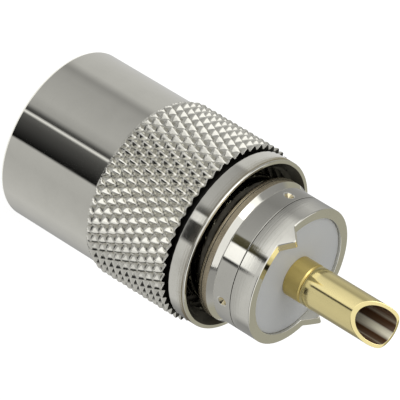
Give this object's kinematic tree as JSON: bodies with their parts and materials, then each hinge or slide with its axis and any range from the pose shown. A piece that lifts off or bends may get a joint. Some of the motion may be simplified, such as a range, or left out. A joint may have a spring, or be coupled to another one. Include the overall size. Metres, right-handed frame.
{
  "type": "uhf connector",
  "caption": "Coaxial cable plug: hollow gold pin in a white insulator, toothed barrel, and a loose knurled coupling nut that turns freely around the plug body.",
  "frame": {"origin": "centre of the rear end face of the plug body, where the cable enters", "axes": "+Z along the plug's axis, from the cable end towards the pin tip"},
  "size_m": [0.0182, 0.0182, 0.0393],
  "materials": {
    "nickel": "bright nickel plate on turned brass",
    "nickel_nut": "bright nickel plate on turned and knurled brass",
    "gold": "gold plate on brass, polished",
    "insulator": "smooth off-white PTFE"
  },
  "bodies": {
    "plug": {"plug_body": "nickel", "insulator": "insulator", "centre_contact": "gold"},
    "nut": {"coupling_nut": "nickel_nut"}
  },
  "joints": [
    {"name": "nut_spin", "type": "hinge", "parent": "plug", "child": "nut", "pos_m": [0, 0, 0.01], "axis": [0, 0, 1], "continuous": true}
  ]
}
